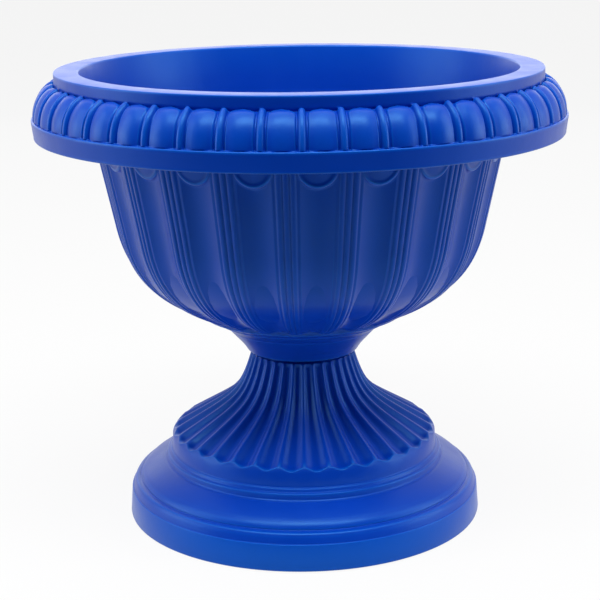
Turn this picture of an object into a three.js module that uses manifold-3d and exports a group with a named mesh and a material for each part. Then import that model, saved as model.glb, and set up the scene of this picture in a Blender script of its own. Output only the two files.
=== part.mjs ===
// Urn planter: a wide bowl with a gadrooned rim and a fluted body, standing on a fluted
// pedestal that it locks to with a twist, and a plug in the bowl's drain hole.
// Millimetres, +Z up. The origin is the centre of the circle that the pedestal stands on.

import * as THREE from 'three';
import Module from 'manifold-3d';

const wasm = await Module();
wasm.setup();

// ---- Driving sizes ------------------------------------------------------------------

const WALL = 2.5;              // thickness of the moulded wall
const SEAT_GAP = 0.3;          // between pieces that rest on each other
const SLIP_GAP = 0.5;          // round pieces that turn or slide in each other

// Pedestal, from the ground up
const FOOT_R = 104.4;          // plinth on the ground
const PLINTH_H = 14.2;         // plain lower band
const PLINTH_STEP = 0.7;       // fine step above the plain band
const ROLL_H = 5.8;            // upper band, which rolls inward
const ROLL_IN = 3.2;           // how far it rolls
const GROOVE_H = 2.0;          // groove between plinth and torus
const GROOVE_IN = 2.2;
const TORUS_H = 10.4;          // broad convex moulding
const TORUS_SWELL = 1.2;       // how far it stands out from a straight cone
const RING_H = 2.5;            // each of the two fine rings above the torus
const RING_IN = 2.1;
const RISER_R = 79.2;          // plain riser below the flutes
const RISER_H = 9.2;
const RISER_DRAFT = 0.8;
const PEDESTAL_H = 97.7;       // height of the shoulder that carries the bowl
const NECK_R = 30.2;           // flute crests at the neck
const NECK_EDGE_H = 2.2;       // plain edge between the flutes and the shoulder

const FLUTES = 34;
const FLUTE_NECK_DEPTH = 1.5;
const FLUTE_FOOT_DEPTH = 2.8;
const SCALLOP_IN = 3.4;        // flute crests end this far inside the riser
const SCALLOP_RUN = 2.4;       // flute bottoms run on this much further out
const SCALLOP_DROP = 2.8;      // and this much further down
const FLARE_NECK_PULL = [0.14, 0.45];  // Bezier handles, as shares of the flare's
const FLARE_FOOT_PULL = [0.75, 0.42];  // width and height

// Bowl, from the seat up
const COLLAR_R = 31.4;         // outer edge of the bottom face
const COLLAR_ROUND = 2.2;      // rounding of that edge
const COLLAR_LOW_H = 11.6;     // lower cone, up to the first ring line
const COLLAR_MID_H = 5.4;      // middle cone, up to the second ring line
const COLLAR_TOP_H = 4.6;      // upper cone, up to the fluted shell
const COLLAR_LOW_R = 45.0;
const COLLAR_MID_R = 52.6;
const COLLAR_TOP_R = 60.3;
const RING_LINE = 0.45;        // the fine steps that draw the two ring lines
const SHELL_H = 54.4;          // curved lower part of the shell
const TAPER_H = 51.7;          // straight upper part, up to the rim's lower edge
const TAPER_IN = 10.7;         // how much the taper narrows down to the curve
const CURVE_TOP_PULL = [0.10, 0.46];   // Bezier handles of the curve, as shares of
const CURVE_FOOT_PULL = [0.65, 0.24];  // its width and height

const CHANNELS = 22;
const CHANNEL_PHASE = 4.4;     // degrees, centre of the first channel from the front
const CHANNEL_DEPTH = 2.5;
const BEADS = 3;               // fine beads in each group between two channels
const BEAD_WIDTH = 1.85;       // degrees of arc
const BEAD_HEIGHT = 0.85;
const LAND_WIDTH = 0.85;       // degrees of arc, level strip from a group to the channel
const APRON_R = 10.6;          // half-round apron that closes the top of each channel
const APRON_DROP = 3.1;        // its centre, below the rim's lower edge
const APRON_SINK = 0.45;       // its face, below the beads
const APRON_CHAMFER = 1.2;
const FADE_H = 9.0;            // height over which beads and channels run out

const BAND_H = 10.6;           // plain band round the rim
const GADROON_H = 21.2;        // eggs and rods above it
const LIP_H = 5.0;
const RIM_R = 152.5;
const LIP_IN = 13.6;           // lip's side, inside the rim
const LIP_WIDTH = 13.9;        // flat top of the lip, down to the mouth's edge
const OVERHANG = 34.2;         // rim's edge, outside the shell at its lower edge
const EDGE = 1.0;              // rounding of the rim's and lip's edges
const GADROONS = 46;
const GADROON_PHASE = 0.4;     // degrees, first rod from the front
const GADROON_DEPTH = 2.2;
const GADROON_CENTRE_IN = 4.4; // centre of the eggs' arc, inside the lip
const ROD_SHARE = 0.30;        // a rod's width as a share of the pitch

// Twist lock between bowl and pedestal
const SPIGOT_R = 24.0;
const SPIGOT_WALL = 3.0;
const LUGS = 3;
const LUG_OUT = 2.9;           // a lug stands out this far from the spigot
const LUG_H = 3.0;
const LUG_ARC = 24;            // degrees
const LUG_STOP_GAP = 1;        // degrees left between a lug and its stops
const FLANGE_H = 4.0;          // flange that hooks under the lugs
const TWIST = 30;              // degrees from locked to free
const SOCKET_H = 9.6;          // from the seat to the socket's roof
const SPIGOT_GAP = 0.8;        // between the spigot's top and that roof

// Floor and drain plug
const FLOOR_T = 2.6;
const DRAIN_R = 7.0;
const PLUG_FLANGE_R = 11.5;
const PLUG_FLANGE_T = 2.0;
const PLUG_STEM_L = 6.5;
const PLUG_TAB_W = 12.0;
const PLUG_TAB_H = 9.0;
const PLUG_TAB_T = 3.0;

const BLUE = 0x1146a8;

// ---- Heights and radii that follow from them ----------------------------------------

const LIP_R = RIM_R - LIP_IN;
const MOUTH_R = LIP_R - LIP_WIDTH;
const SHOULDER_R = RIM_R - OVERHANG;
const SHELL_R = SHOULDER_R - TAPER_IN;
const SEAT_Z = PEDESTAL_H + SEAT_GAP;
const COLLAR_LOW_Z = SEAT_Z + COLLAR_ROUND + COLLAR_LOW_H;
const COLLAR_MID_Z = COLLAR_LOW_Z + COLLAR_MID_H;
const COLLAR_TOP_Z = COLLAR_MID_Z + COLLAR_TOP_H;
const SHELL_Z = COLLAR_TOP_Z + SHELL_H;
const RIM_Z = SHELL_Z + TAPER_H;
const BAND_TOP_Z = RIM_Z + BAND_H;
const GADROON_TOP_Z = BAND_TOP_Z + GADROON_H;
const LIP_Z = GADROON_TOP_Z + LIP_H;
const ROOF_Z = SEAT_Z + SOCKET_H;
const FLOOR_Z = ROOF_Z + FLOOR_T;
const FLANGE_Z = SEAT_Z + FLANGE_H;
const BORE_R = SPIGOT_R + SLIP_GAP;
const LUG_R = SPIGOT_R + LUG_OUT;
const POCKET_R = LUG_R + SLIP_GAP;

// Segments of the plain rings: whole shares of the flutes and gadroons
const RIM_SEGMENTS = GADROONS * 2;
const UNDER_SEGMENTS = GADROONS;
const INNER_SEGMENTS = CHANNELS * 2;
const BASE_SEGMENTS = FLUTES * 2;
const CORE_SEGMENTS = FLUTES;
const DRAIN_SEGMENTS = 24;

const TURN = 2 * Math.PI;
const FRONT = -Math.PI / 2;
const degrees = THREE.MathUtils.degToRad;
const mix = THREE.MathUtils.lerp;

// ---- Skins made of rings ------------------------------------------------------------

// A ring is a closed row of points round the Z axis, sorted by angle. place(u) gives
// [radius, height] at sample {angle, ...}.
function ring(samples, place) {
  const points = samples.map((sample) => {
    const [radius, height] = place(sample);
    const angle = ((sample.angle % TURN) + TURN) % TURN;
    return { angle, x: radius * Math.cos(angle), y: radius * Math.sin(angle), z: height };
  });
  return points.sort((a, b) => a.angle - b.angle);
}

function evenSamples(count) {
  return Array.from({ length: count }, (_, index) => ({ angle: FRONT + (TURN * index) / count }));
}

function plainRing(radius, height, count) {
  return ring(evenSamples(count), () => [radius, height]);
}

// Joins two rings of any two counts by walking round them together.
function bridge(triangles, lower, lowerStart, upper, upperStart) {
  const lowerAt = (index) => lowerStart + (index % lower.length);
  const upperAt = (index) => upperStart + (index % upper.length);
  const angleAt = (row, index) => row[index % row.length].angle + (index >= row.length ? TURN : 0);
  let i = 0;
  let j = 0;
  while (i < lower.length || j < upper.length) {
    const lowerNext = i < lower.length ? angleAt(lower, i + 1) : Infinity;
    const upperNext = j < upper.length ? angleAt(upper, j + 1) : Infinity;
    if (lowerNext <= upperNext) {
      triangles.push(lowerAt(i), lowerAt(i + 1), upperAt(j));
      i += 1;
    } else {
      triangles.push(lowerAt(i), upperAt(j + 1), upperAt(j));
      j += 1;
    }
  }
}

// A closed skin through rings listed round the wall's section, last joined to first.
// Going up the outside and down the inside makes the faces point out.
function skin(rings) {
  const positions = [];
  const triangles = [];
  const starts = rings.map((row) => {
    const start = positions.length / 3;
    row.forEach((point) => positions.push(point.x, point.y, point.z));
    return start;
  });
  rings.forEach((row, index) => {
    const next = (index + 1) % rings.length;
    bridge(triangles, row, starts[index], rings[next], starts[next]);
  });
  const geometry = new THREE.BufferGeometry();
  geometry.setAttribute('position', new THREE.Float32BufferAttribute(positions, 3));
  geometry.setIndex(triangles);
  return geometry;
}

// ---- Joining and cutting ------------------------------------------------------------

// Merges points that lie within a thousandth of a millimetre.
function welded(geometry) {
  const position = geometry.getAttribute('position');
  const index = geometry.index ? Array.from(geometry.index.array) : [...Array(position.count).keys()];
  const places = new Map();
  const vertices = [];
  const corners = index.map((corner) => {
    const at = [position.getX(corner), position.getY(corner), position.getZ(corner)];
    const key = at.map((value) => Math.round(value * 1000)).join(',');
    if (!places.has(key)) {
      places.set(key, vertices.length / 3);
      vertices.push(...at);
    }
    return places.get(key);
  });
  const triangles = [];
  for (let k = 0; k < corners.length; k += 3) {
    const [a, b, c] = corners.slice(k, k + 3);
    if (a !== b && b !== c && c !== a) triangles.push(a, b, c);
  }
  return { vertices: new Float32Array(vertices), triangles: new Uint32Array(triangles) };
}

function solid(geometry) {
  const { vertices, triangles } = welded(geometry);
  return new wasm.Manifold(new wasm.Mesh({ numProp: 3, vertProperties: vertices, triVerts: triangles }));
}

function geometryOf(manifold) {
  const mesh = manifold.getMesh();
  const geometry = new THREE.BufferGeometry();
  geometry.setAttribute('position', new THREE.BufferAttribute(mesh.vertProperties, 3));
  geometry.setIndex(new THREE.BufferAttribute(mesh.triVerts, 1));
  return geometry;
}

// A block between two radii, two angles in degrees and two heights.
function sector(innerR, outerR, fromAngle, toAngle, low, high) {
  const outline = new THREE.Shape();
  const from = degrees(fromAngle);
  const to = degrees(toAngle);
  outline.absarc(0, 0, outerR, from, to, false);
  outline.absarc(0, 0, innerR, to, from, true);
  const geometry = new THREE.ExtrudeGeometry(outline, {
    depth: high - low,
    bevelEnabled: false,
    curveSegments: 4,
  });
  return solid(geometry.translate(0, 0, low));
}

// A curve in the [radius, height] plane between two points, with handles given as
// shares of its width and height: the first runs down from the top, the second
// back from the foot.
function flare(top, foot, topPull, footPull) {
  const width = foot[0] - top[0];
  const height = top[1] - foot[1];
  return new THREE.CubicBezierCurve(
    new THREE.Vector2(top[0], top[1]),
    new THREE.Vector2(top[0] + topPull[0] * width, top[1] - topPull[1] * height),
    new THREE.Vector2(foot[0] - footPull[0] * width, foot[1] + footPull[1] * height),
    new THREE.Vector2(foot[0], foot[1]),
  );
}

// The point at share t of a curve, moved by depth towards the wall's inside.
function sunk(curve, t, depth) {
  const point = curve.getPoint(t);
  const along = curve.getTangent(t);
  return [point.x + along.y * depth, point.y - along.x * depth];
}

// ---- Pedestal -----------------------------------------------------------------------

const ROLL_Z = PLINTH_H + ROLL_H;
const GROOVE_Z = ROLL_Z + GROOVE_H;
const TORUS_Z = GROOVE_Z + TORUS_H;
const RISER_Z = TORUS_Z + 2 * RING_H;
const SKIRT_Z = RISER_Z + RISER_H;
const ROLL_R = FOOT_R - PLINTH_STEP - ROLL_IN;
const TORUS_FOOT_R = ROLL_R - GROOVE_IN;
const TORUS_TOP_R = RISER_R + RISER_DRAFT + 2 * RING_IN;

// Depth of a flute at share u of its pitch, from 0 on the crest to 1 at the bottom:
// a narrow round crest between wide hollow flutes.
function fluteDepth(u) {
  return 1 - ((1 + Math.cos(TURN * u)) / 2) ** 1.5;
}

function fluteSamples() {
  const shares = [0, 0.13, 0.3, 0.5, 0.7, 0.87];
  const samples = [];
  for (let flute = 0; flute < FLUTES; flute += 1) {
    shares.forEach((share) => {
      samples.push({ angle: FRONT + (TURN * (flute + share)) / FLUTES, depth: fluteDepth(share) });
    });
  }
  return samples;
}

function plinthRings() {
  const rows = [
    [FOOT_R - WALL, 0],
    [FOOT_R - EDGE, 0],
    [FOOT_R, EDGE],
    [FOOT_R, PLINTH_H],
    [FOOT_R - PLINTH_STEP, PLINTH_H + PLINTH_STEP / 2],
    [FOOT_R - PLINTH_STEP - 0.45 * ROLL_IN, PLINTH_H + 0.6 * ROLL_H],
    [ROLL_R, ROLL_Z],
    [TORUS_FOOT_R, GROOVE_Z],
  ];
  const across = TORUS_FOOT_R - TORUS_TOP_R;
  const slope = Math.hypot(across, TORUS_H);
  for (const t of [0.3, 0.7]) {
    const swell = TORUS_SWELL * Math.sin(Math.PI * t);
    rows.push([
      mix(TORUS_FOOT_R, TORUS_TOP_R, t) + (swell * TORUS_H) / slope,
      mix(GROOVE_Z, TORUS_Z, t) + (swell * across) / slope,
    ]);
  }
  rows.push(
    [TORUS_TOP_R, TORUS_Z],
    [TORUS_TOP_R - 0.4 * RING_IN, TORUS_Z + 0.8 * RING_H],
    [TORUS_TOP_R - RING_IN, TORUS_Z + RING_H],
    [RISER_R + RISER_DRAFT, RISER_Z],
    [RISER_R, SKIRT_Z - SCALLOP_DROP / 2],
  );
  return rows.map(([radius, height]) => plainRing(radius, height, BASE_SEGMENTS));
}

function fluteRings(curve) {
  const samples = fluteSamples();
  const scallop = ring(samples, ({ depth }) => [
    RISER_R - SCALLOP_IN + SCALLOP_RUN * depth,
    SKIRT_Z + SCALLOP_DROP * (1 - depth),
  ]);
  const rows = [0.8, 0.52, 0.24, 0].map((t) => ring(samples, ({ depth }) => {
    return sunk(curve, t, depth * mix(FLUTE_NECK_DEPTH, FLUTE_FOOT_DEPTH, t));
  }));
  return [scallop, ...rows];
}

function pedestal() {
  const neckFoot = PEDESTAL_H - NECK_EDGE_H;
  const curve = flare(
    [NECK_R, neckFoot],
    [RISER_R - SCALLOP_IN, SKIRT_Z + SCALLOP_DROP],
    FLARE_NECK_PULL,
    FLARE_FOOT_PULL,
  );
  const spigotTop = ROOF_Z - SPIGOT_GAP;
  const boreR = SPIGOT_R - SPIGOT_WALL;
  const lining = (t) => {
    const [radius, height] = sunk(curve, t, WALL + mix(FLUTE_NECK_DEPTH, FLUTE_FOOT_DEPTH, t));
    return plainRing(radius, height, CORE_SEGMENTS);
  };
  const shell = skin([
    ...plinthRings(),
    ...fluteRings(curve),
    plainRing(NECK_R - FLUTE_NECK_DEPTH / 2, PEDESTAL_H - EDGE, BASE_SEGMENTS),
    plainRing(NECK_R - FLUTE_NECK_DEPTH, PEDESTAL_H, BASE_SEGMENTS),
    plainRing(SPIGOT_R, PEDESTAL_H, CORE_SEGMENTS),
    plainRing(SPIGOT_R, spigotTop - EDGE, CORE_SEGMENTS),
    plainRing(SPIGOT_R - EDGE, spigotTop, CORE_SEGMENTS),
    plainRing(boreR, spigotTop, CORE_SEGMENTS),
    plainRing(boreR, neckFoot - WALL, CORE_SEGMENTS),
    lining(0.2),
    lining(0.55),
    lining(0.9),
    plainRing(RISER_R - SCALLOP_IN - WALL, RISER_Z - WALL, CORE_SEGMENTS),
    plainRing(TORUS_TOP_R - WALL, TORUS_Z - WALL, CORE_SEGMENTS),
    plainRing(TORUS_FOOT_R - WALL, GROOVE_Z - WALL, CORE_SEGMENTS),
    plainRing(FOOT_R - PLINTH_STEP - WALL, PLINTH_H, CORE_SEGMENTS),
  ]);
  const lugLow = FLANGE_Z + SEAT_GAP;
  let body = solid(shell);
  for (let k = 0; k < LUGS; k += 1) {
    const middle = (k * 360) / LUGS;
    const root = SPIGOT_R - SPIGOT_WALL / 2;
    body = body.add(sector(root, LUG_R, middle - LUG_ARC / 2, middle + LUG_ARC / 2, lugLow, lugLow + LUG_H));
  }
  return geometryOf(body);
}

// ---- Bowl ---------------------------------------------------------------------------

// Samples round the fluted shell. across is the sideways distance from the channel's
// centre in degrees, sink the depth below the beads' crests, and channel says whether
// the sample lies in a channel or on the level land beside it.
function shellSamples() {
  const pitch = 360 / CHANNELS;
  const groupHalf = (BEADS * BEAD_WIDTH) / 2;
  const channelHalf = pitch / 2 - groupHalf - LAND_WIDTH;
  const hollow = CHANNEL_DEPTH - BEAD_HEIGHT;
  const samples = [];
  for (let index = 0; index < CHANNELS; index += 1) {
    const centre = CHANNEL_PHASE + index * pitch;
    const at = (across, sink, channel) => {
      samples.push({ angle: FRONT + degrees(centre + across), across, sink, channel });
    };
    for (const share of [-1, -0.55, 0, 0.55, 1]) {
      at(share * channelHalf, BEAD_HEIGHT + hollow * (1 - share * share), true);
    }
    for (let step = 0; step <= 2 * BEADS; step += 1) {
      at(pitch / 2 - groupHalf + (step * BEAD_WIDTH) / 2, step % 2 === 0 ? BEAD_HEIGHT : 0, false);
    }
  }
  return samples;
}

function shellRings() {
  const samples = shellSamples();
  const curve = flare([SHELL_R, SHELL_Z], [COLLAR_TOP_R, COLLAR_TOP_Z], CURVE_TOP_PULL, CURVE_FOOT_PULL);
  const taperR = (height) => mix(SHELL_R, SHOULDER_R, (height - SHELL_Z) / TAPER_H);
  // Lower edge of the apron: half a circle that hangs below the rim
  const apronZ = ({ across, channel }) => {
    const sideways = Math.min(degrees(Math.abs(across)) * SHOULDER_R, APRON_R);
    return RIM_Z - APRON_DROP - (channel ? Math.sqrt(APRON_R ** 2 - sideways ** 2) : 0);
  };
  const curved = [0.92, 0.68, 0.36, 0].map((t) => ring(samples, (sample) => {
    const rise = curve.getPoint(t).y - COLLAR_TOP_Z;
    return sunk(curve, t, sample.sink * Math.min(1, rise / FADE_H));
  }));
  const apronFoot = ring(samples, (sample) => {
    const height = apronZ(sample) - APRON_CHAMFER;
    return [taperR(height) - sample.sink, height];
  });
  const apronEdge = ring(samples, (sample) => {
    const height = apronZ(sample);
    return [taperR(height) - (sample.channel ? APRON_SINK : sample.sink), height];
  });
  const top = RIM_Z + EDGE;
  return [
    ...curved,
    apronFoot,
    apronEdge,
    plainRing(taperR(top), top, INNER_SEGMENTS),
  ];
}

function collarRings() {
  const rows = [
    [BORE_R, SEAT_Z],
    [COLLAR_R, SEAT_Z],
    [COLLAR_R + 0.9 * COLLAR_ROUND, SEAT_Z + COLLAR_ROUND],
    [COLLAR_LOW_R, COLLAR_LOW_Z],
    [COLLAR_LOW_R + RING_LINE, COLLAR_LOW_Z],
    [COLLAR_MID_R, COLLAR_MID_Z],
    [COLLAR_MID_R + RING_LINE, COLLAR_MID_Z],
    [COLLAR_TOP_R, COLLAR_TOP_Z],
  ];
  return rows.map(([radius, height]) => plainRing(radius, height, INNER_SEGMENTS));
}

// Samples round the gadroons. swell is 1 on a crest and 0 in the groove between a rod
// and an egg, and top is how far up the crest reaches under the lip, from 0 to 1.
function gadroonSamples() {
  const shares = [
    { share: 0, swell: 1, top: 1 },
    { share: ROD_SHARE / 2, swell: 0, top: 0 },
    { share: 0.3, swell: 0.72, top: 0.45 },
    { share: 0.5, swell: 1, top: 0.75 },
    { share: 0.7, swell: 0.72, top: 0.45 },
    { share: 1 - ROD_SHARE / 2, swell: 0, top: 0 },
  ];
  const samples = [];
  for (let pitch = 0; pitch < GADROONS; pitch += 1) {
    shares.forEach(({ share, swell, top }) => {
      const angle = FRONT + degrees(GADROON_PHASE) + (TURN * (pitch + share)) / GADROONS;
      samples.push({ angle, swell, top });
    });
  }
  return samples;
}

// The quarter arc of the gadroons: at turn 0 on the band, upright; at 1 under the lip.
const ARC_CENTRE_R = LIP_R - GADROON_CENTRE_IN;
const ARC_WIDTH = RIM_R - ARC_CENTRE_R;
const ARC_END = Math.acos(GADROON_CENTRE_IN / ARC_WIDTH);
const ARC_HEIGHT = (GADROON_H - EDGE) / Math.sin(ARC_END);

function arcPoint(turn, depth) {
  const angle = turn * ARC_END;
  return [
    ARC_CENTRE_R + (ARC_WIDTH - depth) * Math.cos(angle),
    BAND_TOP_Z + (ARC_HEIGHT - depth) * Math.sin(angle),
  ];
}

function rimRings() {
  const samples = gadroonSamples();
  const gadroons = [0, 0.36, 0.72].map((turn) => ring(samples, ({ swell, top }) => {
    // Crests round off towards their upper ends
    const fullness = swell * Math.min(1, (1.15 - turn) / (1.15 - top * 0.7));
    return arcPoint(turn, GADROON_DEPTH * (1 - fullness));
  }));
  const underLip = ring(samples, ({ top }) => {
    return [LIP_R + 0.1, mix(arcPoint(1, 2 * GADROON_DEPTH)[1], GADROON_TOP_Z - 0.3, top)];
  });
  const inside = WALL + GADROON_DEPTH;
  const under = (radius, height) => plainRing(radius, height, UNDER_SEGMENTS);
  const round = (radius, height) => plainRing(radius, height, RIM_SEGMENTS);
  const lipRoof = LIP_Z - WALL;
  return [
    under(MOUTH_R + WALL, lipRoof),
    under(LIP_R - WALL, lipRoof),
    under(LIP_R - WALL, arcPoint(0.85, inside)[1]),
    under(...arcPoint(0.55, inside)),
    under(RIM_R - inside, BAND_TOP_Z),
    under(RIM_R - WALL, BAND_TOP_Z - WALL),
    under(RIM_R - WALL, RIM_Z),
    round(RIM_R - EDGE, RIM_Z),
    round(RIM_R, RIM_Z + EDGE),
    round(RIM_R, BAND_TOP_Z - EDGE / 2),
    ...gadroons,
    underLip,
    round(LIP_R, GADROON_TOP_Z),
    round(LIP_R, LIP_Z - EDGE),
    round(LIP_R - EDGE, LIP_Z),
    under(MOUTH_R + EDGE, LIP_Z),
    under(MOUTH_R, LIP_Z - EDGE),
  ];
}

function liningRings() {
  const inside = WALL + CHANNEL_DEPTH;
  const lower = flare(
    [SHELL_R - inside, SHELL_Z],
    [COLLAR_TOP_R - WALL, COLLAR_TOP_Z + WALL],
    CURVE_TOP_PULL,
    CURVE_FOOT_PULL,
  );
  const curved = [0, 0.33, 0.67, 1].map((t) => lower.getPoint(t)).map((point) => [point.x, point.y]);
  const rows = [
    [SHOULDER_R - inside, RIM_Z],
    ...curved,
    [COLLAR_MID_R - WALL, COLLAR_MID_Z + WALL / 2],
    [COLLAR_LOW_R - 2 * WALL, FLOOR_Z + EDGE],
    [COLLAR_LOW_R - 2 * WALL - EDGE, FLOOR_Z],
  ];
  return rows.map(([radius, height]) => plainRing(radius, height, INNER_SEGMENTS));
}

function bowl() {
  const shell = skin([
    ...collarRings(),
    ...shellRings(),
    ...rimRings(),
    ...liningRings(),
    plainRing(DRAIN_R, FLOOR_Z, DRAIN_SEGMENTS),
    plainRing(DRAIN_R, ROOF_Z, DRAIN_SEGMENTS),
    plainRing(BORE_R, ROOF_Z, INNER_SEGMENTS),
  ]);
  let body = solid(shell);
  // Each lug has a pocket above the flange to turn in, and a notch to come in by
  const reach = LUG_ARC / 2 + LUG_STOP_GAP;
  const root = BORE_R - WALL;
  for (let k = 0; k < LUGS; k += 1) {
    const locked = (k * 360) / LUGS;
    const free = locked - TWIST;
    body = body.subtract(sector(root, POCKET_R, free - reach, locked + reach, FLANGE_Z, ROOF_Z));
    body = body.subtract(sector(root, POCKET_R, free - reach, free + reach, SEAT_Z - WALL, ROOF_Z));
  }
  return geometryOf(body);
}

// ---- Drain plug ---------------------------------------------------------------------

function drainPlug() {
  const flangeLow = FLOOR_Z + SEAT_GAP;
  const flangeTop = flangeLow + PLUG_FLANGE_T;
  const stemR = DRAIN_R - SLIP_GAP;
  const stemLow = flangeLow - PLUG_STEM_L;
  const profile = [
    [0, stemLow],
    [stemR - 2 * EDGE, stemLow],
    [stemR - EDGE, stemLow + EDGE],
    [stemR, flangeLow],
    [PLUG_FLANGE_R, flangeLow],
    [PLUG_FLANGE_R, flangeTop - EDGE],
    [PLUG_FLANGE_R - EDGE, flangeTop],
    [0, flangeTop],
  ];
  const points = profile.map(([radius, height]) => new THREE.Vector2(radius, height));
  const body = new THREE.LatheGeometry(points, DRAIN_SEGMENTS).rotateX(Math.PI / 2);
  const tab = new THREE.Shape();
  const half = PLUG_TAB_W / 2;
  const straight = PLUG_TAB_H - half;
  tab.moveTo(-half, -PLUG_FLANGE_T / 2);
  tab.lineTo(half, -PLUG_FLANGE_T / 2);
  tab.lineTo(half, straight);
  tab.absarc(0, straight, half, 0, Math.PI, false);
  const grip = new THREE.ExtrudeGeometry(tab, { depth: PLUG_TAB_T, bevelEnabled: false, curveSegments: 6 });
  grip.translate(0, 0, -PLUG_TAB_T / 2).rotateX(Math.PI / 2).translate(0, 0, flangeTop);
  return geometryOf(solid(body).add(solid(grip)));
}

// ---- Assembly -----------------------------------------------------------------------

function piece(name, geometry) {
  const material = new THREE.MeshStandardMaterial({ color: BLUE, roughness: 0.5, metalness: 0 });
  const mesh = new THREE.Mesh(geometry, material);
  mesh.name = name;
  return mesh;
}

const urn = new THREE.Group();
urn.add(piece('pedestal', pedestal()));
urn.add(piece('bowl', bowl()));
urn.add(piece('drain_plug', drainPlug()));

export default urn;
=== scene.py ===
"""Blue moulded urn planter: a fluted bowl with a gadrooned rim, on a fluted pedestal.

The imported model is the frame. Each moulding here is one closed skin: a section carried
round the urn's axis, with its reeds, channels, eggs, rods and flutes pressed in as
formulas of the angle and of the place along the section. A section goes up the outside
and down the inside, so that its faces point outwards. Lengths in the formulas are
millimetres and angles are degrees, from the front towards +X.
"""

import math

import bmesh
import bpy
import numpy as np
from mathutils import Matrix, Vector


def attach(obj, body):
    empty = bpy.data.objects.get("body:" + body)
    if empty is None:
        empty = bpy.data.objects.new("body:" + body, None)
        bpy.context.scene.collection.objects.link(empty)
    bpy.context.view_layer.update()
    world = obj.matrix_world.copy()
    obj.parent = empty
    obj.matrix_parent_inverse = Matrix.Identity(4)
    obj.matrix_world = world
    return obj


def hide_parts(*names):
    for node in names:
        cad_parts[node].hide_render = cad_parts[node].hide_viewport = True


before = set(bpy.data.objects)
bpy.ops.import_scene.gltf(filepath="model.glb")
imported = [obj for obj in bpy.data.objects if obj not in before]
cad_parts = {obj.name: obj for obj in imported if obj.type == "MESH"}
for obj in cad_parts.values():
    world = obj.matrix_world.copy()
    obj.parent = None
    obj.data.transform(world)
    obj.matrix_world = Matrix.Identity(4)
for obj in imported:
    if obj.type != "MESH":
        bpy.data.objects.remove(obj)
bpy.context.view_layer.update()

MM = 0.001
TURN = 2 * math.pi

# ---- Sizes of the urn -------------------------------------------------------------------
# The seat, floor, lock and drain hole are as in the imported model. The outlines and the
# relief are fitted to the photograph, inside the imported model's box.

FOOT_R = 104.4
PLINTH_TOP_Z = 15.2
PEDESTAL_H = 97.7
SEAT_Z = 98.0
ROOF_Z = 107.6
FLOOR_Z = 110.2
SHELL_FOOT_R, SHELL_FOOT_Z = 59.8, 121.8
SHELL_R, SHELL_Z = 107.9, 176.2
SHELL_HANDLES = [(SHELL_FOOT_R, SHELL_FOOT_Z), (91.5, 134.8), (103.3, 151.2), (SHELL_R, SHELL_Z)]
SHOULDER_R = 118.7
RIM_Z = 228.3
BAND_TOP_Z = 239.1
GADROON_TOP_Z = 259.7
LIP_Z = 264.7
RIM_R = 152.5
LIP_R = 138.9
MOUTH_R = 125.0

SPIGOT_R, SPIGOT_TOP_Z = 24.0, 106.8
BORE_R = 24.5
LUG_R, POCKET_R = 26.9, 27.4
LUG_LOW_Z, LUG_TOP_Z = 102.3, 105.3
FLANGE_Z = 102.0
LUG_ANGLES = (90, 210, 330)
DRAIN_R = 7.0

CHANNELS = 22
CHANNEL_PHASE = 4.4
CHANNEL_DEPTH = 3.4
REED_DEPTH = 1.0
REED_WIDTH = 1.85
LAND_WIDTH = 0.85
FOOT_SHARE = 0.5      # how much of the relief is left at the foot of the bowl
FOOT_FADE = 28        # the height over which it grows to all of it
APRON_R = 10.6
APRON_Z = 224.9
APRON_SINK = 0.45
APRON_FACE_SINK = 0.25

GADROONS = 46
GADROON_PHASE = 0.4
GADROON_DEPTH = 2.5
GADROON_RISE = 21.1
GADROON_ARC = 26.5    # along the quarter ellipse, from the ledge to the lip
GADROON_MIDDLE_R = 148
LIP_INSET = 4.4       # from the lip's edge in to the ellipse's centre
ROD_HALF = 2.1
EGG_HALF = 6.8
EGG_TOP_R = 9.2       # radius of an egg's arched top
EGG_TOP_GAP = 0.9     # from the lip to the top of that arch

FLUTES = 34
FLUTE_COLUMNS = 30
FLUTE_DEPTH_LOW, FLUTE_DEPTH_HIGH = 2.8, 1.5
FLUTE_HANDLES = [(76.4, 50.3), (41.8, 71.2), (38.7, 69.4), (30.8, 95.6)]
SCALLOP_R, SCALLOP_Z = 76.6, 49.8
SCALLOP_OUT, SCALLOP_DROP = 1.5, 1.7

FINE = 4              # relief columns to each column of the plain stretches
CORNER_SHARE = 0.45   # the most of a side that one corner's curve takes up
SMALL_CORNER = 0.25   # a rounding up to this size gets SMALL_STEPS
SMALL_STEPS = 3
BEND_WEIGHT, CREST_WEIGHT = 1.6, 1.1

# ---- Camera and studio, in metres and degrees -------------------------------------------

PHOTO_WIDTH = 600     # the picture's width and the camera's focal length, in pixels
PHOTO_FOCAL = 1539.4
SENSOR_WIDTH = 36
EYE = (0.0, -0.8834, 0.3565)
EYE_YAW, EYE_PITCH, EYE_ROLL = 0.080, -14.597, -0.773

FLOOR_FRONT, FLOOR_BACK, FLOOR_SIDE = -0.42, 6, 6
FLOOR_HEIGHT = -0.0006
FLOOR_GREY = 0.72
FLOOR_WHITE = 0.9     # the share of plain white in what the camera sees of the floor
ROOM_FRONT, ROOM_BACK = 0.02, 0.15

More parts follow.
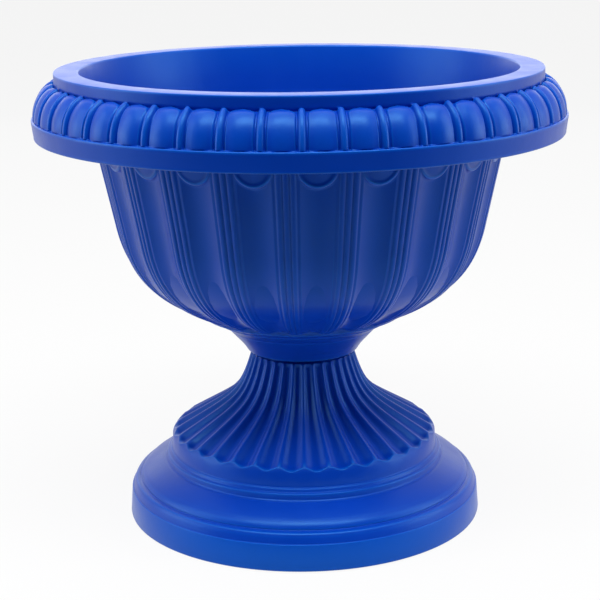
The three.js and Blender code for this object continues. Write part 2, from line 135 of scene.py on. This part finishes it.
# name, place, aim, width, depth (metres) and power (watts)
LAMPS = [
    ("lamp_top", (0.0, 0.1, 1.5), (0.0, 0.1, 0.0), 1.8, 1.0, 9),
    ("lamp_front", (0.0, -0.72, 1.6), (0.0, -0.1, 0.25), 1.8, 0.45, 28),
    ("lamp_back", (0.0, 1.8, 0.6), (0.0, 0.0, 0.6), 2.6, 0.6, 4.5),
    ("lamp_left", (-1.4, -0.15, 0.8), (0.0, 0.0, 0.15), 0.9, 1.2, 8.0),
    ("lamp_low_left", (-1.6, -0.1, 0.3), (0.0, 0.0, 0.15), 1.2, 0.6, 3.2),
    ("lamp_right", (1.4, -0.15, 0.8), (0.0, 0.0, 0.15), 0.9, 1.2, 8.0),
    ("lamp_low_right", (1.6, -0.1, 0.3), (0.0, 0.0, 0.15), 1.2, 0.6, 3.2),
]


# ---- Sections and skins ---------------------------------------------------------------

def rounded(corners, steps=4):
    """A section through corners (radius, height, rounding): each corner becomes a curve
    that leaves one side and meets the next, both at the rounding's distance from it."""
    spots = np.array([corner[:2] for corner in corners], float)
    turns = np.array([corner[2] for corner in corners], float)
    sides = np.diff(spots, axis=0)
    lengths = np.hypot(sides[:, 0], sides[:, 1])
    ways = sides / lengths[:, None]
    line = [spots[:1]]
    for k in range(1, len(spots) - 1):
        reach = min(turns[k], CORNER_SHARE * lengths[k - 1], CORNER_SHARE * lengths[k])
        share = np.linspace(0, 1, steps if reach > SMALL_CORNER else SMALL_STEPS)[:, None]
        before = spots[k] - ways[k - 1] * reach
        after = spots[k] + ways[k] * reach
        line.append(
            (1 - share) ** 2 * before + 2 * share * (1 - share) * spots[k] + share ** 2 * after
        )
    line.append(spots[-1:])
    return np.concatenate(line)


def bezier(handles, t):
    """Points of a cubic Bezier curve and the unit normals on its left-hand side."""
    p0, p1, p2, p3 = np.array(handles, float)
    t = np.asarray(t, float)[:, None]
    near = (1 - t) ** 3 * p0 + 3 * t * (1 - t) ** 2 * p1
    spots = near + 3 * t ** 2 * (1 - t) * p2 + t ** 3 * p3
    along = 3 * (1 - t) ** 2 * (p1 - p0) + 6 * t * (1 - t) * (p2 - p1) + 3 * t ** 2 * (p3 - p2)
    along /= np.hypot(along[:, 0], along[:, 1])[:, None]
    return spots, np.stack([-along[:, 1], along[:, 0]], axis=1)


def smoothstep(low, high, value):
    """0 below low, 1 above high, and an S-curve between."""
    share = np.clip((value - low) / (high - low), 0, 1)
    return share * share * (3 - 2 * share)


def turned(angle, radius, height):
    """Points at an angle, a radius and a height, spread over rows and columns."""
    angle, radius, height = np.broadcast_arrays(angle, radius, height)
    turn = np.radians(angle)
    return np.stack([radius * np.sin(turn), -radius * np.cos(turn), height], axis=-1)


def plain(section, angles):
    """A plain stretch of the section, the same all the way round."""
    return turned(angles[None, :], section[:, :1], section[:, 1:])


def edge_measure(spots):
    """How sharply the stretch bends outwards at each point: the turn from one row to the
    next, and the rise above the two neighbours in the row, along the surface's normal."""
    before = np.diff(spots, axis=0, prepend=spots[:1])
    after = np.diff(spots, axis=0, append=spots[-1:])
    run = np.roll(spots, -1, axis=1) - np.roll(spots, 1, axis=1)
    normal = np.cross(run, before + after)
    normal /= np.linalg.norm(normal, axis=-1, keepdims=True) + 1e-9
    before = before / (np.linalg.norm(before, axis=-1, keepdims=True) + 1e-6)
    after = after / (np.linalg.norm(after, axis=-1, keepdims=True) + 1e-6)
    along = ((before - after) * normal).sum(-1)
    along[[0, -1]] = 0
    across = (np.roll(spots, 1, axis=1) + np.roll(spots, -1, axis=1)) / 2
    width = np.linalg.norm(run, axis=-1) / 2 + 1e-6
    sideways = ((spots - across) * normal).sum(-1) / width
    return BEND_WEIGHT * along + CREST_WEIGHT * sideways


def ring_faces(lower, upper):
    """Faces between two rings of point numbers. Where one ring has more points, in a whole
    ratio, each face takes that many of its edges."""
    few = min(len(lower), len(upper))
    j = np.arange(few)[:, None]
    low_steps = len(lower) // few
    high_steps = len(upper) // few
    low = lower[(j * low_steps + np.arange(low_steps + 1)) % len(lower)]
    high = upper[(j * high_steps + np.arange(high_steps, -1, -1)) % len(upper)]
    return np.concatenate([low, high], axis=1)


def skin(name, stretches, closed=True):
    """A piece through stretches of rows, each row a ring of columns. The last row joins
    the first where closed is true."""
    starts = np.cumsum([0] + [stretch[..., 0].size for stretch in stretches])
    rings = []
    for start, stretch in zip(starts, stretches):
        rows, columns = stretch.shape[:2]
        rings += list(start + np.arange(rows * columns).reshape(rows, columns))
    faces = [ring_faces(low, high) for low, high in zip(rings, rings[1:])]
    if closed:
        faces.append(ring_faces(rings[-1], rings[0]))
    corners = np.concatenate([face.ravel() for face in faces]).astype(np.int32)
    sizes = np.concatenate([np.full(len(face), face.shape[1]) for face in faces])
    spots = np.concatenate([stretch.reshape(-1, 3) for stretch in stretches])
    edges = np.concatenate([edge_measure(stretch).ravel() for stretch in stretches])

    mesh = bpy.data.meshes.new(name)
    mesh.vertices.add(len(spots))
    mesh.vertices.foreach_set("co", (spots * MM).astype(np.float32).ravel())
    mesh.loops.add(len(corners))
    mesh.loops.foreach_set("vertex_index", corners)
    mesh.polygons.add(len(sizes))
    begins = np.concatenate([[0], np.cumsum(sizes)[:-1]]).astype(np.int32)
    mesh.polygons.foreach_set("loop_start", begins)
    mesh.polygons.foreach_set("use_smooth", np.full(len(sizes), True))
    # The edge measure goes to the material, which paints crests and edges paler: partly wear,
    # partly a painted highlight.
    layer = mesh.attributes.new("edge", "FLOAT", "POINT")
    layer.data.foreach_set("value", np.clip(edges, 0, 1).astype(np.float32))
    mesh.update(calc_edges=True)
    piece = bpy.data.objects.new(name, mesh)
    bpy.context.scene.collection.objects.link(piece)
    return piece


def even_angles(columns, start=0.0):
    """Evenly spread angles, all the way round."""
    return start + 360 * np.arange(columns) / columns


# ---- Bowl -----------------------------------------------------------------------------

def shell_columns():
    """Angles of the bowl's columns, and each one's sideways angle from the centre of its
    channel: even over the reeds, and crowded at the channel's edges."""
    pitch = 360 / CHANNELS
    half = pitch / 2 - 1.5 * REED_WIDTH
    inside = half - LAND_WIDTH
    reeds = np.linspace(half, pitch - half, 25) - pitch
    side = np.array([0.16, 0.33, 0.5, 0.66, 0.8, 0.9, 0.96, 1.0]) * inside
    side = np.concatenate([side, [inside + 0.3 * LAND_WIDTH, inside + 0.75 * LAND_WIDTH]])
    period = np.concatenate([reeds, -side[::-1], [0], side])
    centres = CHANNEL_PHASE + pitch * np.arange(CHANNELS)
    return (centres[:, None] + period).ravel(), np.tile(period, CHANNELS)


def shell_depth(away):
    """Depth below the crest: three round reeds, each a flattened half circle, then a
    level land, then a channel hollowed as a parabola."""
    half = 180 / CHANNELS - 1.5 * REED_WIDTH
    inside = half - LAND_WIDTH
    hollow = REED_DEPTH + (CHANNEL_DEPTH - REED_DEPTH) * np.clip(1 - (away / inside) ** 2, 0, 1)
    on_reed = np.mod((away - half) / REED_WIDTH, 1.0)
    reed = REED_DEPTH * (1 - np.clip(1 - (2 * on_reed - 1) ** 2, 0, 1) ** 0.62)
    return np.where(away >= half - 1e-6, reed, hollow)


def shell_stretches():
    """The bowl's outside: the curve that springs from the collar, then the straight taper
    up to the rim, where a half-round apron closes each channel."""
    angles, across = shell_columns()
    pitch = 360 / CHANNELS
    away = np.abs(np.where(across < -pitch / 2, across + pitch, across))
    depth = shell_depth(away)
    spots, normals = bezier(SHELL_HANDLES, np.linspace(0, 1, 22))
    grown = smoothstep(SHELL_FOOT_Z, SHELL_FOOT_Z + FOOT_FADE, spots[:, 1:])
    run_out = FOOT_SHARE + (1 - FOOT_SHARE) * grown
    sunk = spots[:, None, :] + normals[:, None, :] * (run_out * depth)[..., None]
    curve = turned(angles, sunk[..., 0], sunk[..., 1])

    slope = (SHOULDER_R - SHELL_R) / (RIM_Z - SHELL_Z)
    lean = math.atan(slope)
    in_channel = away < pitch / 2 - 1.5 * REED_WIDTH - 1e-6
    sideways = np.clip(np.radians(away) * SHOULDER_R, 0, APRON_R)

    def arc(grow, rise):
        """The apron's lower edge, a half circle, grown by a margin and raised."""
        drop = np.sqrt(np.clip((APRON_R + grow) ** 2 - sideways ** 2, 0, None))
        return APRON_Z + rise - np.where(in_channel, drop, 0)

    border = np.minimum(depth, APRON_SINK)
    face = np.minimum(depth, APRON_SINK + APRON_FACE_SINK)
    foot = arc(0.5, -0.6)
    shares = (0.1, 0.35, 0.6, 0.85, 0.96)
    rows = [(SHELL_Z + (foot - SHELL_Z) * share, depth) for share in shares]
    rows += [
        (foot, depth),
        (arc(0.15, -0.45), depth * 0.72 + border * 0.28),
        (arc(0.0, -0.32), depth * 0.35 + border * 0.65),
        (arc(-0.15, -0.18), depth * 0.10 + border * 0.90),
        (arc(-0.5, 0.0), border),
        (arc(-1.2, 0.08), border),
        (arc(-1.6, 0.14), face),
        (arc(-3.0, 0.3), face),
        (np.full_like(foot, RIM_Z + 0.3), face),
    ]
    heights = np.array([row[0] for row in rows])
    sink = np.where(in_channel, np.array([row[1] for row in rows]), depth)
    radius = SHELL_R + slope * (heights - SHELL_Z) - math.cos(lean) * sink
    return [curve, turned(angles, radius, heights + math.sin(lean) * sink)]


def gadroon_columns():
    """Angles of the rim's columns, and each one's distance in millimetres from the
    centre of the nearest rod, measured at the middle of the eggs."""
    width = TURN * GADROON_MIDDLE_R / GADROONS
    side = np.array([0.9, 1.6, 2.05, 2.4, 3.1, 3.45, 3.85, 4.7, 6.2, 8.1])
    period = np.concatenate([-side[::-1], [0], side, [width / 2]])
    centres = GADROON_PHASE + 360 / GADROONS * np.arange(GADROONS)
    angles = centres[:, None] + period / width * 360 / GADROONS
    return angles.ravel(), np.tile(period, GADROONS), width


def gadroon_stretch():
    """Eggs and rods on a quarter ellipse. A rod is a half round with a round end. An egg
    has an arched top, a fine raised line round its edge, and swells as a parabola of the
    distance inside it, a soft minimum of the distances from its sides and its top. Both
    stand on the ledge of the plain band."""
    angles, aside, width = gadroon_columns()
    centre_r = LIP_R - LIP_INSET
    out = RIM_R - 0.9 - centre_r
    turn = np.concatenate([
        np.linspace(0.0, 0.06, 3), np.linspace(0.13, 0.70, 8), np.linspace(0.76, 1, 12),
    ])
    swing = turn[:, None] * math.acos(LIP_INSET / out)
    from_lip = (1 - turn[:, None]) * GADROON_ARC
    off_egg = width / 2 - np.abs(aside)
    arch = EGG_TOP_GAP + EGG_TOP_R - np.sqrt(np.clip(EGG_TOP_R ** 2 - off_egg ** 2, 0, None))
    blend = 1.3
    from_side = np.exp(-blend * (EGG_HALF - off_egg))
    from_top = np.exp(-blend * (from_lip - arch))
    inside = -np.log(from_side + from_top) / blend
    wall = smoothstep(-0.55, 0.15, inside)
    dome = 0.45 + 0.55 * (1 - np.clip(1 - inside / EGG_HALF, 0, 1) ** 2)
    fine_line = 0.13 * np.exp(-((inside - 0.3) / 0.28) ** 2)
    egg = wall * (dome + fine_line)
    end = np.clip(ROD_HALF + 0.2 - from_lip, 0, None)
    rod = np.sqrt(np.clip(1 - (aside ** 2 + end ** 2) / ROD_HALF ** 2, 0, 1))
    sink = GADROON_DEPTH * (1 - np.maximum(rod, egg))
    radius = centre_r + (out - sink) * np.cos(swing)
    height = BAND_TOP_Z + 0.05 + (GADROON_RISE - sink) * np.sin(swing)
    radius[-1] = LIP_R
    return turned(angles, radius, height)


def notched(angles, low, high, narrow, wide):
    """A radius that is wide over each lug's stretch of angles and narrow elsewhere."""
    inside = np.zeros(len(angles), bool)
    for lug in LUG_ANGLES:
        inside |= (angles - lug - low) % 360 < high - low
    return np.where(inside, wide, narrow)


def bowl():
    """The whole bowl as one closed skin: the seat, the outside, the rim, and back down
    the inside to the drain hole and the socket."""
    shell_angles, _ = shell_columns()
    rim_angles, _, _ = gadroon_columns()
    low_angles = shell_angles[::FINE]
    high_angles = rim_angles[::FINE]
    collar = rounded([
        (31.0, SEAT_Z, 0), (32.6, SEAT_Z, 1.0), (35.3, 102.3, 2.5), (43.6, 111.3, 0.5),
        (44.0, 112.2, 0.35), (50.6, 116.6, 0.4), (51.4, 116.6, 0.3), (51.7, 117.5, 0.3),
        (58.7, 120.7, 0.3), (59.5, 120.7, 0.25), (59.7, 121.5, 0.2),
    ], steps=3)
    under = rounded([
        (118.6, 229.4, 0), (123.6, 236.0, 2), (128.2, 260.5, 2), (LIP_R - 3, 261.6, 2),
        (LIP_R - 2.5, 254.0, 2), (144.0, 249.6, 3), (147.6, 240.0, 3), (148.9, 235.5, 2),
        (148.9, RIM_Z, 0.35), (150.6, RIM_Z - 0.05, 0.3), (151.2, RIM_Z + 0.1, 0.25),
        (151.5, RIM_Z + 0.7, 0.25), (151.45, RIM_Z + 1.4, 0.2),
        (RIM_R - 0.1, BAND_TOP_Z - 2.2, 0),
    ], steps=3)
    ledge = rounded([
        (RIM_R - 0.05, BAND_TOP_Z - 1.6, 0), (RIM_R, BAND_TOP_Z, 0.65),
        (RIM_R - 1.3, BAND_TOP_Z + 0.05, 0),
    ], steps=3)
    lip_side = rounded([(LIP_R, GADROON_TOP_Z - 0.4, 0), (LIP_R, LIP_Z - 2, 0)])
    lip = rounded([
        (LIP_R, LIP_Z - 1.6, 0), (LIP_R, LIP_Z, 1.2), (MOUTH_R, LIP_Z, 1.1), (120.6, 233.0, 5),
        (114.5, 224.0, 6), (102.0, SHELL_Z, 14), (99.2, 155, 16), (88, 138.5, 14),
        (60.0, 125.0, 12), (41.0, FLOOR_Z, 4), (DRAIN_R, FLOOR_Z, 0.6),
        (DRAIN_R, ROOF_Z, 0.4), (BORE_R - 0.4, ROOF_Z, 0),
    ], steps=4)
    bore_angles = even_angles(len(low_angles) * 2, shell_angles[0])
    # A lug enters by the notch and turns on into the rest of its pocket.
    pocket = notched(bore_angles, -43, 13, BORE_R, POCKET_R)
    notch = notched(bore_angles, -43, -17, BORE_R, POCKET_R)
    bore = turned(
        bore_angles,
        np.array([pocket, pocket, pocket, notch, notch, notch]),
        np.array([ROOF_Z, ROOF_Z - 0.3, FLANGE_Z, FLANGE_Z, FLANGE_Z - 0.3, SEAT_Z])[:, None],
    )
    return skin("urn_bowl", [
        plain(collar, low_angles), *shell_stretches(), plain(under, high_angles),
        plain(ledge, rim_angles), gadroon_stretch(), plain(lip_side, high_angles),
        plain(lip, high_angles), bore,
    ])


# ---- Pedestal -------------------------------------------------------------------------

def flute_columns():
    """Angles of the pedestal's columns and each one's share of its flute's pitch."""
    shares = np.arange(FLUTES * FLUTE_COLUMNS) / FLUTE_COLUMNS
    return shares * 360 / FLUTES, shares % 1.0


def flute_stretch():
    """Hollow flutes between narrow round crests, from the scalloped edge to the neck. At
    the edge the crests end inside the riser, and the flute bottoms run further out and
    down and round over into it."""
    angles, share = flute_columns()
    hollow = 1 - ((1 + np.cos(TURN * share)) / 2) ** 1.5
    wave = (1 - np.cos(TURN * share)) / 2
    t = np.concatenate([np.linspace(0.0, 0.12, 5), np.linspace(0.16, 1, 26)])
    spots, normals = bezier(FLUTE_HANDLES, t)
    deep = FLUTE_DEPTH_HIGH + (FLUTE_DEPTH_LOW - FLUTE_DEPTH_HIGH) * (1 - t[:, None])
    sunk = spots[:, None, :] + normals[:, None, :] * (deep * hollow)[..., None]
    scallop_r = SCALLOP_R + SCALLOP_OUT * wave
    scallop_z = SCALLOP_Z - SCALLOP_DROP * wave
    rows = [(0.75, 0.9), (0.5, 0.35), (0.2, 0.05)]
    radius = np.array([scallop_r + out for out, _ in rows] + list(sunk[..., 0]))
    height = np.array([scallop_z - down for _, down in rows] + list(sunk[..., 1]))
    return turned(angles, radius, height)


def pedestal():
    """The whole pedestal as one closed skin: the plinth, the torus, the fluted neck, the
    spigot with its three lugs, and the hollow inside."""
    fine_angles, _ = flute_columns()
    angles = fine_angles[::2]
    few_angles = fine_angles[::FINE]
    base = rounded([
        # plinth
        (FOOT_R - 2.5, 0, 0), (FOOT_R + 1.2, 0, 0.6), (FOOT_R, PLINTH_TOP_Z, 0.35),
        (103.6, 15.4, 0.15), (103.5, 15.9, 0.2), (102.5, 19.1, 0.9), (101.4, 20.8, 0.6),
        (100.0, 21.2, 0.35), (99.0, 21.1, 0.25), (98.4, 21.5, 0.25),
        # torus
        (98.5, 22.2, 0.3), (97.3, 24.2, 1.1), (94.9, 26.3, 1.5), (90.6, 29.0, 2.0),
        (87.5, 30.7, 1.7), (85.4, 31.8, 1.0),
        # fine steps and riser
        (84.5, 32.2, 0.4), (83.7, 32.3, 0.3), (82.9, 33.2, 0.3), (82.7, 35.8, 0.35),
        (82.1, 36.4, 0.35), (81.2, 36.6, 0.3), (80.7, 37.6, 0.3), (80.2, 38.5, 0.35),
        (79.5, 38.8, 0.3), (79.2, 39.6, 0.4), (79.0, 46.9, 0),
    ], steps=3)
    shoulder = rounded([
        (30.0, 95.9, 0), (28.2, 96.1, 0.3), (28.0, PEDESTAL_H, 0.3),
        (SPIGOT_R + 0.4, PEDESTAL_H, 0),
    ])
    lug = notched(angles, -12, 12, SPIGOT_R, LUG_R)
    shaft = np.full(len(angles), SPIGOT_R)
    spigot = turned(
        angles,
        np.array([shaft, shaft, lug, lug, lug, lug, shaft, shaft]),
        np.array([
            PEDESTAL_H, LUG_LOW_Z - 0.3, LUG_LOW_Z, LUG_LOW_Z + 0.3, LUG_TOP_Z - 0.3,
            LUG_TOP_Z, LUG_TOP_Z, SPIGOT_TOP_Z - 0.8,
        ])[:, None],
    )
    inner = rounded([
        (SPIGOT_R - 0.1, SPIGOT_TOP_Z - 0.5, 0), (SPIGOT_R - 0.7, SPIGOT_TOP_Z, 0.3),
        (21.0, SPIGOT_TOP_Z, 0.8), (21.0, 93.0, 3), (26.5, 88.0, 4), (34.0, 71.0, 6),
        (62.0, 51.0, 8), (73.0, 44.0, 5), (74.5, 36.0, 4), (82.0, 29.5, 4),
        (94.0, 20.0, 4), (101.2, 12.0, 4), (FOOT_R - 2.5, 1.0, 0),
    ], steps=5)
    return skin("urn_pedestal", [
        plain(base, angles), flute_stretch(), plain(shoulder, angles), spigot,
        plain(inner, few_angles),
    ])


# ---- Drain plug -----------------------------------------------------------------------

def weld_poles(piece):
    """Closes the points that meet on the axis."""
    net = bmesh.new()
    net.from_mesh(piece.data)
    bmesh.ops.remove_doubles(net, verts=net.verts, dist=1e-6)
    net.to_mesh(piece.data)
    net.free()


def plug_body():
    """The plug's flange and stem: a rounded section carried round the axis."""
    low = FLOOR_Z + 0.3
    section = rounded([
        (0, low - 6.5, 0), (4.6, low - 6.5, 1.2), (6.2, low - 3.5, 1.0), (6.5, low, 0.3),
        (11.5, low, 0.4), (11.5, low + 2.0, 0.9), (9.2, low + 2.0, 0.5), (8.6, low + 1.6, 0.5),
        (0, low + 1.6, 0),
    ], steps=6)
    piece = skin("plug_body", [plain(section, even_angles(96))], closed=False)
    weld_poles(piece)
    return piece


def plug_grip():
    """The plug's grip: a round-topped tab, as a superellipse in plan that narrows over its
    height as a half circle does."""
    low = FLOOR_Z + 1.6
    lift = np.linspace(0, 1, 28)[:, None]
    turn = np.radians(even_angles(64))
    plan_x = np.sign(np.cos(turn)) * np.abs(np.cos(turn)) ** 0.35
    plan_y = np.sign(np.sin(turn)) * np.abs(np.sin(turn)) ** 0.35
    top = np.sqrt(np.clip(1 - np.clip((lift - 0.35) / 0.65, 0, 1) ** 2, 0, 1))
    thick = 1.5 * np.clip(top * 2.2, 0, 1) ** 0.5
    height = low + 9.4 * lift
    spots = np.stack(np.broadcast_arrays(6.0 * top * plan_x, thick * plan_y, height), axis=-1)
    foot = spots[:1] * np.array([0.0, 0.0, 1.0])
    piece = skin("plug_grip", [np.concatenate([foot, spots])], closed=False)
    weld_poles(piece)
    return piece


# ---- Material -------------------------------------------------------------------------

def moulded_plastic(name, blue, rough):
    """Moulded plastic, coloured through: a fine grain, faint flow marks, soft patches of
    gloss, and edges a little smoother where handling has worn them. The edges are also a
    little paler, partly from that wear and partly as a painted highlight along the crests."""
    material = bpy.data.materials.new(name)
    material.use_nodes = True
    nodes, links = material.node_tree.nodes, material.node_tree.links
    shader = nodes["Principled BSDF"]
    shader.inputs["IOR"].default_value = 1.48
    shader.inputs["Specular Tint"].default_value = (0.2, 0.64, 1.0, 1)
    place = nodes.new("ShaderNodeTexCoord")

    def noise(scale, detail, roughness):
        node = nodes.new("ShaderNodeTexNoise")
        node.inputs["Scale"].default_value = scale
        node.inputs["Detail"].default_value = detail
        node.inputs["Roughness"].default_value = roughness
        links.new(place.outputs["Object"], node.inputs["Vector"])
        return node

    def spread(source, low, high, from_low=0.3, from_high=0.7):
        node = nodes.new("ShaderNodeMapRange")
        node.inputs["From Min"].default_value = from_low
        node.inputs["From Max"].default_value = from_high
        node.inputs["To Min"].default_value = low
        node.inputs["To Max"].default_value = high
        links.new(source, node.inputs["Value"])
        return node.outputs["Result"]

    def mixed(share, first, second):
        node = nodes.new("ShaderNodeMix")
        node.data_type = "RGBA"
        links.new(share, node.inputs["Factor"])
        for socket, value in ((node.inputs["A"], first), (node.inputs["B"], second)):
            if isinstance(value, tuple):
                socket.default_value = value
            else:
                links.new(value, socket)
        return node.outputs["Result"]

    def shaded(factor):
        return tuple(channel * factor for channel in blue) + (1.0,)

    flow = noise(14.0, 3.0, 0.55)
    patches = noise(55.0, 4.0, 0.6)
    grain = noise(1500.0, 2.0, 0.5)
    colour = mixed(spread(flow.outputs["Fac"], 0, 1), shaded(0.94), shaded(1.07))
    colour = mixed(spread(grain.outputs["Fac"], 0.0, 0.35), colour, shaded(1.12))
    # Crests and edges are painted paler: partly wear from handling, partly a painted highlight
    # where they catch the light.
    edge = nodes.new("ShaderNodeAttribute")
    edge.attribute_name = "edge"
    wear_and_highlight = spread(edge.outputs["Fac"], 0.0, 0.5, 0.08, 0.6)
    paler = zip(blue, (0.001, 0.08, 0.24))
    pale = tuple(channel * 0.8 + extra for channel, extra in paler) + (1.0,)
    colour = mixed(wear_and_highlight, colour, pale)
    links.new(colour, shader.inputs["Base Color"])

    gloss = nodes.new("ShaderNodeMath")
    gloss.operation = "SUBTRACT"
    links.new(spread(patches.outputs["Fac"], rough - 0.035, rough + 0.045), gloss.inputs[0])
    links.new(spread(edge.outputs["Fac"], 0.0, 0.03, 0.1, 0.6), gloss.inputs[1])
    links.new(gloss.outputs["Value"], shader.inputs["Roughness"])

    fine = nodes.new("ShaderNodeBump")
    fine.inputs["Strength"].default_value = 0.10
    fine.inputs["Distance"].default_value = 0.0004
    links.new(grain.outputs["Fac"], fine.inputs["Height"])
    broad = nodes.new("ShaderNodeBump")
    broad.inputs["Strength"].default_value = 0.10
    broad.inputs["Distance"].default_value = 0.0012
    links.new(patches.outputs["Fac"], broad.inputs["Height"])
    links.new(fine.outputs["Normal"], broad.inputs["Normal"])
    links.new(broad.outputs["Normal"], shader.inputs["Normal"])
    return material


# ---- Studio ---------------------------------------------------------------------------

def soft_lamp(name, place, aim, width, depth, power):
    """A rectangular soft box that points at a spot."""
    light = bpy.data.lights.new(name, "AREA")
    light.shape = "RECTANGLE"
    light.size = width
    light.size_y = depth
    light.energy = power
    lamp = bpy.data.objects.new(name, light)
    bpy.context.scene.collection.objects.link(lamp)
    lamp.location = place
    lamp.rotation_euler = (Vector(aim) - Vector(place)).to_track_quat("-Z", "Y").to_euler()


def pale_floor(share):
    """A pale matt floor. The camera, reflections and rays through clear things see it
    mostly white, and the rest of what they see is its light and shadow."""
    mesh = bpy.data.meshes.new("floor")
    corners = [
        (-FLOOR_SIDE, FLOOR_FRONT, FLOOR_HEIGHT), (FLOOR_SIDE, FLOOR_FRONT, FLOOR_HEIGHT),
        (FLOOR_SIDE, FLOOR_BACK, FLOOR_HEIGHT), (-FLOOR_SIDE, FLOOR_BACK, FLOOR_HEIGHT),
    ]
    mesh.from_pydata(corners, [], [(0, 1, 2, 3)])
    floor = bpy.data.objects.new("floor", mesh)
    bpy.context.scene.collection.objects.link(floor)
    material = bpy.data.materials.new("floor_white")
    material.use_nodes = True
    nodes, links = material.node_tree.nodes, material.node_tree.links
    shader = nodes["Principled BSDF"]
    shader.inputs["Base Color"].default_value = (FLOOR_GREY, FLOOR_GREY, FLOOR_GREY, 1)
    shader.inputs["Roughness"].default_value = 0.9
    shader.inputs["Specular IOR Level"].default_value = 0.0
    glow = nodes.new("ShaderNodeEmission")
    path = nodes.new("ShaderNodeLightPath")
    seen = nodes.new("ShaderNodeMath")
    seen.operation = "MAXIMUM"
    scale = nodes.new("ShaderNodeMath")
    scale.operation = "MULTIPLY"
    scale.inputs[1].default_value = share
    mix = nodes.new("ShaderNodeMixShader")
    shown = nodes.new("ShaderNodeMath")
    shown.operation = "MAXIMUM"
    links.new(path.outputs["Is Glossy Ray"], shown.inputs[0])
    links.new(path.outputs["Is Transmission Ray"], shown.inputs[1])
    links.new(path.outputs["Is Camera Ray"], seen.inputs[0])
    links.new(shown.outputs["Value"], seen.inputs[1])
    links.new(seen.outputs["Value"], scale.inputs[0])
    links.new(scale.outputs["Value"], mix.inputs["Fac"])
    links.new(shader.outputs["BSDF"], mix.inputs[1])
    links.new(glow.outputs["Emission"], mix.inputs[2])
    links.new(mix.outputs["Shader"], nodes["Material Output"].inputs["Surface"])
    mesh.materials.append(material)


def surround(front, back):
    """A room that is dim in front of the urn and pale behind it. The camera sees all of it
    white, and glossy surfaces see a white backdrop behind the urn."""
    world = bpy.data.worlds.new("surround")
    bpy.context.scene.world = world
    world.use_nodes = True
    nodes, links = world.node_tree.nodes, world.node_tree.links
    way = nodes.new("ShaderNodeTexCoord")
    split = nodes.new("ShaderNodeSeparateXYZ")
    links.new(way.outputs["Generated"], split.inputs["Vector"])
    path = nodes.new("ShaderNodeLightPath")

    def across(low, high, to_low, to_high):
        """A level that goes smoothly from one value to another, from front to back."""
        node = nodes.new("ShaderNodeMapRange")
        node.interpolation_type = "SMOOTHSTEP"
        node.inputs["From Min"].default_value = low
        node.inputs["From Max"].default_value = high
        node.inputs["To Min"].default_value = to_low
        node.inputs["To Max"].default_value = to_high
        links.new(split.outputs["Y"], node.inputs["Value"])
        return node.outputs["Result"]

    def chosen(share, first, second):
        node = nodes.new("ShaderNodeMix")
        links.new(share, node.inputs["Factor"])
        links.new(first, node.inputs["A"])
        if isinstance(second, float):
            node.inputs["B"].default_value = second
        else:
            links.new(second, node.inputs["B"])
        return node.outputs["Result"]

    lit = across(-0.5, 0.9, front, back)
    shown = across(-0.5, 0.9, front, 1.0)
    level = chosen(path.outputs["Is Glossy Ray"], lit, shown)
    level = chosen(path.outputs["Is Transmission Ray"], level, 1.0)
    level = chosen(path.outputs["Is Camera Ray"], level, 1.0)
    shade = nodes["Background"]
    shade.inputs["Color"].default_value = (1, 1, 1, 1)
    links.new(level, shade.inputs["Strength"])


def camera():
    """The camera of the photograph: 883 mm in front of the urn's axis and 357 mm up."""
    data = bpy.data.cameras.new("camera")
    data.sensor_width = SENSOR_WIDTH
    data.lens = PHOTO_FOCAL / PHOTO_WIDTH * SENSOR_WIDTH
    eye = bpy.data.objects.new("camera", data)
    bpy.context.scene.collection.objects.link(eye)
    yaw = Matrix.Rotation(math.radians(EYE_YAW), 4, "Z")
    pitch = Matrix.Rotation(math.radians(90 + EYE_PITCH), 4, "X")
    roll = Matrix.Rotation(math.radians(EYE_ROLL), 4, "Z")
    eye.matrix_world = Matrix.Translation(EYE) @ yaw @ pitch @ roll
    bpy.context.scene.camera = eye


def studio():
    """A pale floor, a surround, soft boxes above, in front, behind and on both sides, and
    the camera."""
    bpy.context.scene.view_settings.view_transform = "Standard"
    pale_floor(FLOOR_WHITE)
    surround(ROOM_FRONT, ROOM_BACK)
    for lamp in LAMPS:
        soft_lamp(*lamp)
    camera()


# ---- Putting it together --------------------------------------------------------------

studio()
plastic = moulded_plastic("blue_plastic_satin", (0.0003, 0.038, 0.40), 0.34)
for build, body, node in (
    (pedestal, "pedestal", "pedestal"),
    (bowl, "bowl", "bowl"),
    (plug_body, "drain_plug", "drain_plug"),
    (plug_grip, "drain_plug", None),
):
    made = build()
    made.data.materials.append(plastic)
    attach(made, body)
    if node:
        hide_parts(node)
